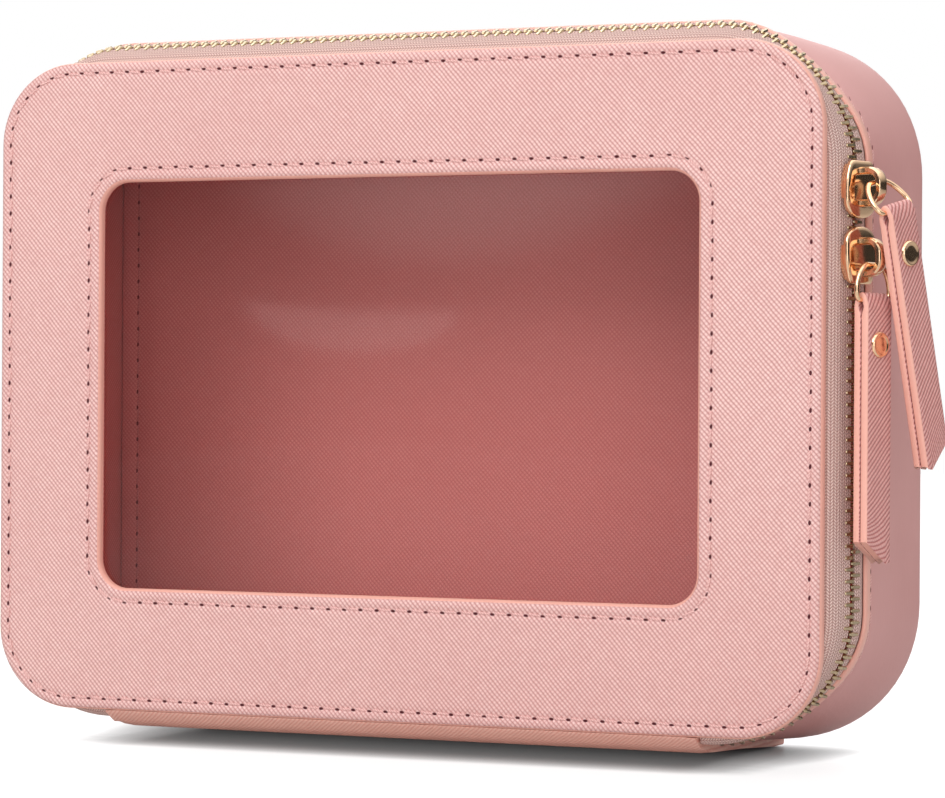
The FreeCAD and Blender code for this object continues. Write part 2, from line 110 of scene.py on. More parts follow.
class Nodes:
    """Short way to write the shader of a material or world: each call adds a node."""

    def __init__(self, block, output="OutputMaterial"):
        self.block = block
        block.use_nodes = True
        self.tree = block.node_tree
        self.tree.nodes.clear()
        self.out = self.tree.nodes.new("ShaderNode" + output)

    def add(self, kind, inputs=None, output=0, **settings):
        node = self.tree.nodes.new("ShaderNode" + kind)
        for key, value in settings.items():
            setattr(node, key, value)
        for key, value in (inputs or {}).items():
            self.put(node.inputs[key], value)
        return node.outputs[output]

    def put(self, socket, value):
        if isinstance(value, bpy.types.NodeSocket):
            self.tree.links.new(value, socket)
        else:
            socket.default_value = value

    def math(self, operation, a, b=0.0, clamp=False):
        return self.add("Math", {0: a, 1: b}, operation=operation, use_clamp=clamp)

    def plus(self, a, b, clamp=False):
        return self.math("ADD", a, b, clamp)

    def minus(self, a, b):
        return self.math("SUBTRACT", a, b)

    def times(self, a, b, clamp=False):
        return self.math("MULTIPLY", a, b, clamp)

    def ridges(self, position, pitch):
        """Rounded ridges from 0 to 1 across a position in mm."""
        return self.math("ABSOLUTE", self.math("SINE", self.times(position, math.pi / pitch)))

    def mix(self, factor, a, b):
        return self.add("Mix", {"Factor": factor, "A": a, "B": b}, output=2, data_type="RGBA")

    def fade(self, value, start, end, at_start, at_end):
        """Straight ramp between two values, flat outside them."""
        return self.add("MapRange", {0: value, 1: start, 2: end, 3: at_start, 4: at_end})

    def split(self, vector):
        """The three parts of a vector."""
        node = self.tree.nodes.new("ShaderNodeSeparateXYZ")
        self.tree.links.new(vector, node.inputs[0])
        return node.outputs

    def uv(self):
        """UV map in millimetres, as two separate numbers."""
        return self.split(self.add("UVMap", uv_map="UVMap"))[:2]

    def object_place(self):
        return self.add("TexCoord", output=3)

    def noise(self, scale, detail=2.0, vector=None):
        inputs = {"Scale": scale, "Detail": detail, "Vector": vector or self.object_place()}
        return self.add("TexNoise", inputs)

    def bump(self, height, distance_mm):
        inputs = {"Height": height, "Distance": distance_mm * MM, "Strength": 1.0}
        return self.add("Bump", inputs)

    def show(self, shader):
        """Ends the shader; returns the material or world."""
        self.tree.links.new(shader, self.out.inputs["Surface"])
        return self.block

    def surface(self, **inputs):
        names = {k.replace("_", " "): v for k, v in inputs.items()}
        return self.show(self.add("BsdfPrincipled", names))


def new_material(name):
    return Nodes(bpy.data.materials.new(name))


def saffiano(name, ridge, groove, rough, relief=0.1, pitch=0.84, mirror=1.0, cross=0.3):
    """Cross-hatch leather: long diagonal ridges cut by finer ones the other way, with painted shade in the
    grooves.
    """
    n = new_material(name)
    u, v = n.uv()
    wobble = n.times(n.minus(n.noise(230), 0.5), 0.45)
    across = n.plus(n.plus(n.times(u, 0.74 * mirror), n.times(v, 0.67)), wobble)
    along = n.plus(n.minus(n.times(u, 0.68 * mirror), n.times(v, 0.73)), wobble)
    long_ridges = n.math("POWER", n.ridges(across, pitch), 0.9)
    cuts = n.math("POWER", n.ridges(along, pitch), cross)
    broken = n.plus(n.times(n.noise(700), 0.5), 0.72)
    height = n.times(n.times(long_ridges, cuts), broken, clamp=True)
    cloudy = n.plus(n.times(n.noise(14, 3.0), 0.5), -0.12, clamp=True)
    cloudy_tone = n.mix(cloudy, ridge, groove)
    # Painted shade: where the relief is low the colour goes to the darker groove colour; the ridges keep
    # the lighter ridge colour.
    colour = n.mix(n.math("POWER", height, 1.1), groove, cloudy_tone)
    return n.surface(Base_Color=colour, Roughness=rough, Specular_IOR_Level=0.42,
                     Normal=n.bump(height, relief))


def smooth_leather(name, colour, dark, rough, stretch=(1.0, 1.0, 1.0)):
    """Fine-grain leather; stretch draws the grain out along an axis."""
    n = new_material(name)
    drawn = n.add("VectorMath", {0: n.object_place(), 1: stretch}, operation="MULTIPLY")
    grain = n.add("TexVoronoi", {"Vector": drawn, "Scale": 1300.0})
    fine = n.noise(2300, 2.0, drawn)
    height = n.plus(n.times(grain, 0.7), n.times(fine, 0.5))
    tone = n.mix(n.noise(22, 3.0), colour, dark)
    tone = n.mix(n.times(fine, 0.35), tone, dark)
    return n.surface(Base_Color=tone, Roughness=rough, Specular_IOR_Level=0.35,
                     Normal=n.bump(height, 0.045))


def plain(name, colour, relief=0.0):
    """Dull, faintly spotted surface."""
    n = new_material(name)
    spots = n.noise(900, 3.0)
    darker = tuple(c * 0.86 for c in colour[:3]) + (1.0,)
    inputs = {"Base_Color": n.mix(n.times(spots, 0.5), colour, darker), "Roughness": 0.9}
    if relief:
        inputs["Normal"] = n.bump(spots, relief)
    return n.surface(**inputs)


def metal(name, colour, rough):
    n = new_material(name)
    worn = n.noise(260, 3.0)
    return n.surface(Base_Color=colour, Metallic=1.0, Roughness=n.plus(n.times(worn, 0.12), rough),
                     Normal=n.bump(worn, 0.02))


def woven_tape(name):
    """Herringbone tape: slanting floats that turn back at each column."""
    n = new_material(name)
    u, v = n.uv()
    column = 0.8
    slant = n.plus(u, n.times(n.math("PINGPONG", v, column), 0.9))
    floats = n.math("POWER", n.ridges(slant, 0.72), 0.8)
    ribs = n.math("POWER", n.ridges(v, column), 0.5)
    height = n.times(floats, ribs)
    # Painted shade: the tape is darker where the weave is low, between the floats, and light on the float
    # tops.
    colour = n.mix(height, srgb(168, 118, 110), srgb(244, 216, 207))
    return n.surface(Base_Color=colour, Roughness=0.85, Specular_IOR_Level=0.2,
                     Normal=n.bump(height, 0.16))


def twisted_thread(name, colour, dark):
    n = new_material(name)
    u, v = n.uv()
    ply = n.math("SINE", n.plus(n.times(u, 9.0), n.times(v, 6.3)))
    height = n.plus(n.times(ply, 0.5), 0.5)
    # Painted shade: the thread takes the dark colour in the low parts of its twist.
    return n.surface(Base_Color=n.mix(height, dark, colour), Roughness=0.6,
                     Normal=n.bump(height, 0.06))


def clear_vinyl(name):
    """Clear soft sheet: seen through, with a glossy face and a faint haze."""
    n = new_material(name)
    normal = n.bump(n.noise(7.0, 1.0), 0.06)
    gloss = n.add("BsdfGlossy", {"Color": (1, 0.97, 0.96, 1), "Roughness": 0.04, "Normal": normal})
    haze = n.add("BsdfGlossy", {"Color": (1, 0.93, 0.92, 1), "Roughness": 0.34, "Normal": normal})
    through = n.add("BsdfTransparent", {"Color": (0.98, 0.96, 0.955, 1)})
    facing = n.add("LayerWeight", {"Blend": 0.3, "Normal": normal})
    amount = n.plus(n.times(facing, 0.25), 0.035)
    shine = n.add("MixShader", {0: 0.4, 1: gloss, 2: haze})
    return n.show(n.add("MixShader", {0: amount, 1: through, 2: shine}))


LOOKS = {
    "panel": saffiano("saffiano_pink", srgb(253, 216, 211), srgb(200, 136, 131), 0.46),
    "strap": saffiano("saffiano_strap", srgb(244, 188, 182), srgb(176, 92, 88), 0.42,
                      relief=0.14, pitch=0.95, mirror=-1.0, cross=0.1),
    "lining": saffiano("saffiano_lining", srgb(232, 147, 141), srgb(209, 110, 106), 0.5,
                       relief=0.08, pitch=0.8, cross=0.6),
    "strip": saffiano("saffiano_strip", srgb(255, 208, 192), srgb(234, 160, 143), 0.46,
                      relief=0.07, cross=0.12),
    "side": smooth_leather("leather_side", srgb(232, 176, 172), srgb(208, 146, 142), 0.46,
                           stretch=(1.0, 1.0, 0.14)),
    "edge": smooth_leather("leather_edge", srgb(248, 190, 174), srgb(238, 172, 156), 0.36),
    "board": plain("grey_board", srgb(150, 128, 110), relief=0.1),
    "vinyl": clear_vinyl("clear_vinyl"),
    "thread": twisted_thread("thread_pale", srgb(244, 202, 196), srgb(220, 160, 156)),
    # Stitch holes: flat dark discs of painted shade where the thread goes in; the soft one is less dark,
    # for the lining and the side rim.
    "hole_shade": plain("stitch_hole_shade", srgb(84, 26, 34)),
    "thread_inside": twisted_thread("thread_inside", srgb(214, 126, 121), srgb(190, 98, 96)),
    "hole_shade_soft": plain("stitch_hole_shade_soft", srgb(120, 44, 46)),
    "tape": woven_tape("zip_tape"),
    "teeth": metal("zip_metal", srgb(202, 182, 150), 0.2),
    "gold": metal("gold_metal", srgb(242, 202, 164), 0.07),
    "seam": plain("strap_seam", srgb(120, 44, 44)),
}


# ---------------- mesh helpers

class Soup:
    """Collects vertices in mm, faces, their UVs in mm and their material numbers into one mesh."""

    def __init__(self):
        self.vertices, self.faces, self.uvs, self.indices = [], [], [], []

    def grid(self, rows, us=None, vs=None, close_u=False, close_v=False, index=0, flip=False):
        """Quads over rows of points. close_u joins the last row to the first, close_v each row's ends."""
        base = len(self.vertices)
        nu, nv = len(rows), len(rows[0])
        for row in rows:
            self.vertices.extend(row)
        us = us or list(range(nu + 1))
        vs = vs or list(range(nv + 1))
        for i in range(nu if close_u else nu - 1):
            for j in range(nv if close_v else nv - 1):
                a = base + i * nv + j
                b = base + ((i + 1) % nu) * nv + j
                c = base + ((i + 1) % nu) * nv + (j + 1) % nv
                d = base + i * nv + (j + 1) % nv
                quad = [a, b, c, d]
                uv = [(us[i], vs[j]), (us[i + 1], vs[j]), (us[i + 1], vs[j + 1]), (us[i], vs[j + 1])]
                if flip:
                    quad.reverse()
                    uv.reverse()
                self.faces.append(quad)
                self.uvs.extend(uv)
                self.indices.append(index)

    def cap(self, points, index=0, flip=False):
        base = len(self.vertices)
        self.vertices.extend(points)
        face = list(range(base, base + len(points)))
        uv = [(p[0], p[2]) for p in points]
        if flip:
            face.reverse()
            uv.reverse()
        self.faces.append(face)
        self.uvs.extend(uv)
        self.indices.append(index)

    def ends(self, rows, flip=False):
        """Caps the first and the last ring, wound opposite ways; flip swaps them."""
        self.cap(rows[0], flip=flip)
        self.cap(rows[-1], flip=not flip)

    def move(self, matrix):
        """Takes the points from local mm to the row frame."""
        self.vertices = [tuple(matrix @ Vector(v)) for v in self.vertices]

    def object(self, name, materials, smooth_angle=38):
        mesh = bpy.data.meshes.new(name)
        mesh.from_pydata([(x * MM, y * MM, z * MM) for x, y, z in self.vertices], [], self.faces)
        for material in materials:
            mesh.materials.append(LOOKS[material])
        layer = mesh.uv_layers.new(name="UVMap")
        layer.data.foreach_set("uv", np.array(self.uvs, np.float32).ravel())
        mesh.polygons.foreach_set("material_index", self.indices)
        mesh.polygons.foreach_set("use_smooth", [True] * len(self.faces))
        mesh.set_sharp_from_angle(angle=math.radians(smooth_angle))
        mesh.validate()
        mesh.update()
        obj = bpy.data.objects.new(name, mesh)
        bpy.context.scene.collection.objects.link(obj)
        return obj


def steps(a, b, n):
    return [a + (b - a) * i / n for i in range(n + 1)]


def ruler(section):
    """Running length round a closed section, at each of its points and back at the first."""
    lengths = [0.0]
    for (a, b), (c, d) in zip(section, section[1:] + section[:1]):
        lengths.append(lengths[-1] + math.hypot(c - a, d - b))
    return lengths


# how far the soft edge of the body and the zip draw in: (back, amount)
CORNER_TUCK = [(3.5, 0.0), (9.8, 1.3), (15.0, 3.0), (19.0, 2.8), (28.0, 1.6), (45.0, 0.0), (61.0, -0.4)]
SIDE_TUCK = [(3.5, 0.0), (9.8, 1.5), (14.6, 0.3), (17.0, 0.0)]
UNDER_TUCK = [(3.5, 0.0), (9.8, 2.6), (15.0, 3.3), (19.0, 3.0), (36.0, 1.8), (50.0, 0.8), (61.0, 0.0)]


def along_table(table, x):
    """Value at x, eased between the points of the table."""
    if x <= table[0][0]:
        return table[0][1]
    for (a, p), (b, q) in zip(table, table[1:]):
        if x <= b:
            t = (x - a) / (b - a)
            return p + (q - p) * t * t * (3 - 2 * t)
    return table[-1][1]


def tuck(back, nx, nz):
    """The real edge is soft: it draws in round the corners, underneath and, at the zip, on the left."""
    amount = along_table(CORNER_TUCK, back) * (2 * nx * nz) ** 2
    amount += along_table(SIDE_TUCK, back) * max(0.0, -nx) ** 2
    return amount + along_table(UNDER_TUCK, back) * max(0.0, -nz) ** 4


def outline_path(full=True, ease=EASE):
    """Stations round the case: corner rectangle point, outward direction and length so far.

    Side 0 is the right-hand one, and the others follow over the top. A path that isn't full
    leaves out the hinge strip.
    """
    stations = []
    half_x, half_z = CORNER_X - ease, CORNER_Z - ease
    flats = [(0, half_z, half_x), (1, half_x, half_z), (2, half_z, half_x), (3, half_x, half_z)]
    arc = (PANEL_R + ease + CHAIN_OUT) * math.pi / 2
    flat_step, corner_n = 3.0, 18
    strip_end = STRIP_X + 0.3
    length = 0.0

    def flat(side, along_from, along_to, reach):
        nonlocal length
        count = max(1, int((along_to - along_from) / flat_step))
        ux, uz = [(1, 0), (0, 1), (-1, 0), (0, -1)][side]
        for along in steps(along_from, along_to, count)[:-1]:
            stations.append((ux * reach - uz * along, uz * reach + ux * along, ux, uz,
                             length + along - along_from))
        length += along_to - along_from

    def corner(side):
        nonlocal length
        cx = half_x * [1, -1, -1, 1][side]
        cz = half_z * [1, 1, -1, -1][side]
        for k in range(corner_n):
            angle = math.pi / 2 * (side + k / corner_n)
            stations.append((cx, cz, math.cos(angle), math.sin(angle), length + arc * k / corner_n))
        length += arc

    if full:
        for side, half, reach in flats:
            flat(side, -half, half, reach)
            corner(side)
        return stations, length
    flat(3, strip_end, half_x, half_z)
    corner(3)
    for side, half, reach in flats[:3]:
        flat(side, -half, half, reach)
        corner(side)
    flat(3, -half_x, -strip_end, half_z)
    stations.append((-strip_end, -half_z, 0, -1, length))
    return stations, length


def band_rows(section, full=True, ease=EASE):
    """Carry an (out, back) section round the case. Returns rows of points and the two rulers."""
    stations, length = outline_path(full, ease)
    rows, us = [], []
    for cx, cz, nx, nz, s in stations:
        row = []
        for o, d in section:
            reach = PANEL_R + ease + o - (tuck(d, nx, nz) if ease else 0.0)
            row.append((cx + nx * reach, FRONT + d, MID_Z + cz + nz * reach))
        rows.append(row)
        us.append(s)
    return rows, us + [length], ruler(section)


def band(name, section, material, full=True, closed=True, flip=False):
    """A section carried round the case, as an object. One that isn't full has capped ends."""
    soup = Soup()
    rows, us, vs = band_rows(section, full)
    soup.grid(rows, us, vs, close_u=full, close_v=closed, flip=flip)
    if not full:
        soup.ends(rows, flip=not flip)
    return soup.object(name, [material])


def rect_loop(left, right, low, high, radius):
    """Points of a rounded rectangle; every loop has the same count and starts bottom right."""
    corner_n, flat_n = 14, (36, 52)
    points = []
    corners = [(right - radius, low + radius), (right - radius, high - radius),
               (left + radius, high - radius), (left + radius, low + radius)]
    for side in range(4):
        cx, cz = corners[side]
        for k in range(corner_n):
            angle = math.pi / 2 * (side - 1 + k / corner_n)
            points.append((cx + radius * math.cos(angle), cz + radius * math.sin(angle)))
        out_x = radius * math.cos(math.pi / 2 * side)
        out_z = radius * math.sin(math.pi / 2 * side)
        nx, nz = corners[(side + 1) % 4]
        count = flat_n[side % 2]
        for k in range(count):
            points.append((cx + out_x + (nx - cx) * k / count, cz + out_z + (nz - cz) * k / count))
    return points


def outline_rect(inset):
    """The case's outline, taken inwards, as left, right, low, high."""
    half_x = CORNER_X + PANEL_R - inset
    half_z = CORNER_Z + PANEL_R - inset
    return (-half_x, half_x, -half_z, half_z)


def round_loop(out, ease):
    """The case's outline, taken outwards, with its corners eased."""
    return rect_loop(*outline_rect(-out), PANEL_R + ease + out)


def panel_loop(out):
    return round_loop(out, 0.0)


def window_rect(margin):
    left, right, low, high = WINDOW
    return (left - margin, right + margin, low - margin, high + margin)


def window_loop(margin):
    return rect_loop(*window_rect(margin), WINDOW_R + margin)


def loops_mesh(name, loops, material, flip=False, fill=False):
    """Skin over loops of (points, back). The UVs are X and Z, drawn out a little over the edges."""
    soup = Soup()
    rows = [[(x, FRONT + back, MID_Z + z) for x, z in points] for points, back in loops]
    soup.grid(rows, close_v=True, flip=flip)
    if fill:
        soup.cap(rows[-1], flip=flip)
    corners = [soup.vertices[v] for face in soup.faces for v in face]
    soup.uvs = [(x, z + (y - FRONT) * 0.3) for x, y, z in corners]
    return soup.object(name, [material])


def place(obj, body, slot, *nodes):
    """Common end of every piece: its body and the CAD nodes it shows; the material slot it is given is not
    used.
    """
    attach(obj, body)
    if nodes:
        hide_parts(*nodes)


# ---------------- lid

def arc_points(centre_o, centre_d, radius, start, end, n):
    """(out, back) points on an arc; angles in degrees from outwards towards the back."""
    return [(centre_o + radius * math.cos(math.radians(a)), centre_d + radius * math.sin(math.radians(a)))
            for a in steps(start, end, n)]


def lid_panel():
    """Front leather: rolled outer edge, sunk stitch lines and a rolled window lip."""
    loops = []
    edge = [(-1.2, 3.15), (-0.5, 3.2)] + arc_points(-0.75, 2.45, 0.75, 80, 0, 4)
    edge += arc_points(-1.5, 1.4, 1.5, 0, -90, 7)
    edge += [(-1.8, -0.11), (-2.05, -0.09), (-2.35, 0.08), (-2.55, 0.12), (-3.05, 0.12),
             (-3.25, 0.08), (-3.6, -0.06), (-4.4, -0.10), (-6.0, -0.05)]
    for out, back in edge:
        loops.append((panel_loop(out), back))
    lip = [(6.2, -0.05), (4.6, -0.10), (3.9, -0.07), (3.55, 0.08), (3.35, 0.12), (2.85, 0.12),
           (2.65, 0.08), (2.3, -0.08), (1.6, -0.16), (1.1, -0.12), (0.6, 0.08), (0.2, 0.42),
           (0.0, 0.9), (0.0, 1.6), (0.05, 2.15)]
    outer, inner = panel_loop(edge[-1][0]), window_loop(lip[0][0])
    padding = 0.12
    for t in steps(0, 1, 8)[1:-1]:
        middle = [(a * (1 - t) + c * t, b * (1 - t) + d * t) for (a, b), (c, d) in zip(outer, inner)]
        loops.append((middle, -0.05 - padding * math.sin(math.pi * t)))
    for margin, back in lip:
        loops.append((window_loop(margin), back))
    obj = loops_mesh("lid_panel", loops, "panel")
    place(obj, "window_lid", "saffiano_leather", "lid_cover")


def edge_paint():
    """Smooth rolled edges: the lid's outer edge and the lip of the window."""
    soup = Soup()
    rim = arc_points(-0.75, 2.45, 0.80, 60, 0, 3) + arc_points(-1.5, 1.4, 1.53, 0, -42, 5)
    rows, us, vs = band_rows(rim, ease=0.0)
    soup.grid(rows, us, vs, close_u=True, flip=True)
    lip = [(0.56, 0.05), (0.16, 0.40), (-0.05, 0.9), (-0.05, 1.9)]
    rows = [[(x, FRONT + back, MID_Z + z) for x, z in window_loop(margin)] for margin, back in lip]
    soup.grid(rows, close_v=True)
    place(soup.object("lid_rolled_edges", ["edge"]), "window_lid", "edge_leather")


def window_sheet():
    """The clear sheet, with a faint slack bulge."""
    left, right, low, high = WINDOW
    overlap, back, bulge = 5.5, 2.42, 0.4

    def slack(x, z):
        across = min(max((x - left) / (right - left), 0), 1)
        up = min(max((z - low) / (high - low), 0), 1)
        return bulge * math.sin(math.pi * across) * math.sin(math.pi * up)

    heights = steps(low - overlap, high + overlap, 40)
    soup = Soup()
    soup.grid([[(x, FRONT + back - slack(x, z), MID_Z + z) for z in heights]
               for x in steps(left - overlap, right + overlap, 60)])
    place(soup.object("window_sheet", ["vinyl"]), "window_lid", "clear_vinyl", "window_pane")


def lid_lining():
    loops = [(panel_loop(-1.25), 2.4), (panel_loop(-1.25), 3.0), (panel_loop(-1.6), 3.18),
             (panel_loop(-6.0), 3.2), (window_loop(3.0), 3.2), (window_loop(0.8), 3.18),
             (window_loop(0.35), 3.0), (window_loop(0.35), 2.5)]
    obj = loops_mesh("lid_lining_skin", loops, "lining", flip=True)
    place(obj, "window_lid", "lining_leather", "lid_lining")


# ---------------- stitches

def loop_walk(rect, radius, pitch, gap_x=None):
    """Evenly spaced (x, z, heading) along a rounded rectangle, from the panel centre.

    The walk starts low on the right-hand side and goes over the top. With gap_x it leaves out
    the underside between -gap_x and gap_x.
    """
    left, right, low, high = rect
    starts = [(right, low + radius), (right - radius, high), (left, high - radius), (left + radius, low)]
    centres = [(right - radius, high - radius), (left + radius, high - radius),
               (left + radius, low + radius), (right - radius, low + radius)]
    flats = [high - low - 2 * radius, right - left - 2 * radius]
    arc = radius * math.pi / 2
    legs = []
    for side in range(4):
        legs.append(("flat", side, flats[side % 2]))
        legs.append(("arc", side, arc))
    total = sum(leg[2] for leg in legs)
    first, length = 0.0, total
    if gap_x is not None:
        first = -arc - (right - radius - gap_x)
        length = total - 2 * gap_x
    count = int(length // pitch)
    walk = []
    for n in range(count):
        s = (first + (n + 0.5) * length / count) % total
        for kind, side, size in legs:
            if s <= size:
                break
            s -= size
        heading = math.pi / 2 * (side + 1)
        if kind == "flat":
            x = starts[side][0] + math.cos(heading) * s
            z = starts[side][1] + math.sin(heading) * s
        else:
            angle = heading - math.pi / 2 + s / radius
            x = centres[side][0] + radius * math.cos(angle)
            z = centres[side][1] + radius * math.sin(angle)
            heading += s / radius
        walk.append((x, z, heading))
    return walk


def directions(heading):
    """Along and outwards at a point of a walk."""
    along = Vector((math.cos(heading), 0, math.sin(heading)))
    return along, Vector((math.sin(heading), 0, -math.cos(heading)))


def add_stitch(soup, centre, along, across, up, rng):
    """One thread float that rises out of one stitch hole and dives into the next; each hole is a flat dark
    disc of painted shade.
    """
    turn = math.radians(rng.uniform(3, 8))
    along, across = (along * math.cos(turn) + across * math.sin(turn),
                     across * math.cos(turn) - along * math.sin(turn))
    rows, us = [], []
    for t in steps(-1, 1, 8):
        lift = 0.12 * (1 - abs(t) ** 3.2) - 0.36 * abs(t) ** 6
        r = STITCH_FAT * (1 - 0.22 * abs(t) ** 4)
        middle = centre + along * (t * STITCH_LONG / 2) + up * lift
        leaning = up + along * (0.5 * t ** 5)
        rows.append([tuple(middle + across * (math.cos(a) * r) + leaning * (math.sin(a) * r * 0.8))
                     for a in steps(0, 2 * math.pi, 8)[:-1]])
        us.append(t * STITCH_LONG / 2)
    soup.grid(rows, us, steps(0, 2.4, 8), close_v=True)
    # Painted shade: a flat dark disc just above the surface where the thread dives in.
    spot = centre + along * (STITCH_PITCH / 2) + up * 0.05
    hole_shade = [tuple(spot + along * (0.56 * math.cos(a)) + across * (0.33 * math.sin(a)))
            for a in steps(0, 2 * math.pi, 10)[:-1]]
    soup.cap(hole_shade, index=1, flip=True)


def face_thread(name, body, node, rect, radius, back, up_y, materials=("thread", "hole_shade")):
    """Stitches round a face that looks forwards (up_y -1) or backwards (up_y 1)."""
    rng = random.Random(7)
    soup = Soup()
    for x, z, heading in loop_walk(rect, radius, STITCH_PITCH):
        along, across = directions(heading)
        centre = Vector((x, FRONT + back, MID_Z + z))
        add_stitch(soup, centre, along, across, Vector((0, up_y, 0)), rng)
    place(soup.object(name, materials), body, "thread", node)


def rim_thread():
    """Stitches round the side of the body, behind the rolled edge."""
    rng = random.Random(11)
    soup = Soup()
    for x, z, heading in loop_walk(outline_rect(-BODY_OUT), PANEL_R + EASE + BODY_OUT, STITCH_PITCH,
                                   STRIP_X + 1):
        x, z = tucked(x, z, RIM_STITCH_BACK, heading)
        along, outward = directions(heading)
        centre = Vector((x, FRONT + RIM_STITCH_BACK, MID_Z + z))
        add_stitch(soup, centre, along, Vector((0, 1, 0)), outward, rng)
    place(soup.object("rim_thread", ["thread", "hole_shade_soft"]), "case_body", "thread", "rim_stitches")


def tucked(x, z, back, heading):
    """Moves a point of a walk inwards by the tuck there."""
    nx, nz = math.sin(heading), -math.cos(heading)
    amount = tuck(back, nx, nz)
    return x - nx * amount, z - nz * amount


def all_threads():
    face_thread("lid_edge_thread", "window_lid", "lid_edge_stitches", outline_rect(LID_STITCH_IN),
                PANEL_R - LID_STITCH_IN, 0.12, -1)
    face_thread("window_thread", "window_lid", "window_stitches", window_rect(WINDOW_STITCH_IN),
                WINDOW_R + WINDOW_STITCH_IN, 0.12, -1)
    inset = REAR_R - BODY_OUT + BACK_STITCH_IN
    face_thread("back_thread", "case_body", "back_stitches", outline_rect(inset),
                PANEL_R + EASE - inset, DEPTH - 0.02, 1)
    face_thread("lining_thread", "case_body", "lining_stitches", outline_rect(LINING_STITCH_IN),
                PANEL_R + EASE - LINING_STITCH_IN, LINING_BACK + 0.1, -1, ("thread_inside", "hole_shade_soft"))
    rim_thread()


# ---------------- body

def body_sides():
    """Leather, lining and board round the sides; the board follows the lining's inner face."""
    turn_out = BODY_OUT - REAR_R
    turn_back = DEPTH - REAR_R
    outer = [(BODY_OUT - 1.15, RIM_BACK - 0.05), (BODY_OUT - 0.5, RIM_BACK - 0.15),
             (BODY_OUT, RIM_BACK + 0.1), (BODY_OUT, 18.9), (BODY_OUT - 0.12, 19.5),
             (BODY_OUT - 0.16, RIM_STITCH_BACK), (BODY_OUT - 0.12, 20.1), (BODY_OUT + 0.02, 20.8),
             (BODY_OUT + 0.05, 24), (BODY_OUT + 0.1, 40), (BODY_OUT + 0.05, turn_back - 4)]
    outer += arc_points(turn_out, turn_back, REAR_R, 0, 90, 10)
    outer += [(turn_out - 0.2, DEPTH + 0.02), (turn_out - 0.4, DEPTH - 0.35)]
    leather = band("body_leather", outer, "side", closed=False, flip=True)
    place(leather, "case_body", "smooth_leather", "gusset_cover")

    inner = [(BOARD_OUT, RIM_BACK), (1.7, RIM_BACK), (1.85, 24), (2.2, 40), (2.5, turn_back - 4),
             (2.6, LINING_BACK + 0.6)]
    lining = band("wall_lining", inner, "lining", closed=False)
    place(lining, "case_body", "lining_leather", "gusset_lining")

    backs = [RIM_BACK + 0.1, 24, 40, turn_back - 4, turn_back + 0.5]
    section = [(BOARD_OUT, back) for back in backs]
    section += [(BOARD_OUT - 0.3, turn_back + 2.2), (3.0, turn_back + 2.2), (2.9, turn_back - 4),
                (2.6, 40), (2.25, 24), (2.05, RIM_BACK + 0.1)]
    board = band("wall_board", section, "board")
    place(board, "case_body", "board", "gusset_board")


def body_back():
    """Back leather and back lining, each with its sunk stitch line."""
    section = [(0.05, -0.5), (0.1, -0.1), (0.5, 0.12), (2.4, 0.08), (3.0, -0.06), (3.6, 0.08), (6.0, 0.1)]
    loops = [(round_loop(BODY_OUT - REAR_R - inset, EASE), DEPTH + rise) for inset, rise in section]
    panel = loops_mesh("back_panel", loops, "panel", flip=True, fill=True)
    place(panel, "case_body", "saffiano_leather", "back_cover")

    section = [(2.5, 0.5), (2.25, 0.2), (1.8, 0.02), (-0.6, 0.0), (-1.9, 0.0), (-2.25, 0.12),
               (-2.75, 0.12), (-3.1, 0.0), (-8, 0.0)]
    loops = [(round_loop(out, EASE), LINING_BACK + sunk) for out, sunk in section]
    lining = loops_mesh("back_lining_skin", loops, "lining", fill=True)
    place(lining, "case_body", "lining_leather", "back_lining")


def rim_fold():
    """The rolled edge round the body's opening."""
    section = [(5.2, 15.05), (5.5, 14.92), (5.85, 15.05), (6.05, 15.4), (6.1, 16.0), (6.1, 17.6),
               (6.02, 18.1), (5.85, 18.4), (5.62, 18.5), (5.56, 18.3), (5.56, 17.3), (4.4, 17.3)]
    fold = band("rim_fold", section, "edge", full=False, flip=True)
    place(fold, "case_body", "edge_leather", "rim_binding")


def hinge_leather():
    """One strip of leather from under the lid's edge, over the hinge line, to under the body."""
    hinge_back, hinge_height = HINGE
    lower = [(0.9, 7.9), (1.3, 7.45), (2.2, 6.85), (4.0, 5.8), (hinge_back - 0.5, 4.95), (8.0, 4.15),
             (10.5, 3.45), (14.0, 3.05), (20.0, 2.75), (36.0, 1.85), (50.0, 0.8), (60.0, 0.08),
             (66.4, 0.0), (67.0, 0.3)]
    upper = [(67.1, 0.9), (66.9, 1.7), (66.2, 2.1), (60.0, 2.5), (50.0, 3.2), (36.0, 4.2), (20.0, 5.3),
             (15.5, 5.75), (12.0, 6.4), (9.0, 7.0), (hinge_back + 0.6, 7.6), (4.6, 7.85), (3.0, 7.93),
             (1.6, 7.93)]
    section = lower + upper
    middle = sum(height for back, height in section) / len(section)
    stations = steps(-STRIP_X, STRIP_X, 50)
    rounding, edge_wide = 0.35, 0.9
    rows = []
    for x in stations:
        end = max(0.0, (abs(x) - STRIP_X + edge_wide) / edge_wide)
        shrink = rounding * end * end
        rows.append([(x, FRONT + back, height + (shrink if height < middle else -shrink * 0.5))
                     for back, height in section])
    soup = Soup()
    soup.grid(rows, stations, ruler(section), close_v=True, flip=True)
    soup.ends(rows)
    obj = soup.object("hinge_leather", ["strip"])
    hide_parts("hinge_flap", "base_strip")
    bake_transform(obj)


# ---------------- zip

def chain_point(b):
    """(out, back) of a point of the tilted chain, b behind its middle line."""
    return CHAIN_OUT + b * math.sin(TILT), CHAIN_BACK + b * math.cos(TILT)


def line_normals(points):
    """Unit normals, to the left of an open line in a plane."""
    normals = []
    for i in range(len(points)):
        a, b = points[max(i - 1, 0)]
        c, d = points[min(i + 1, len(points) - 1)]
        length = math.hypot(c - a, d - b)
        normals.append((-(d - b) / length, (c - a) / length))
    return normals


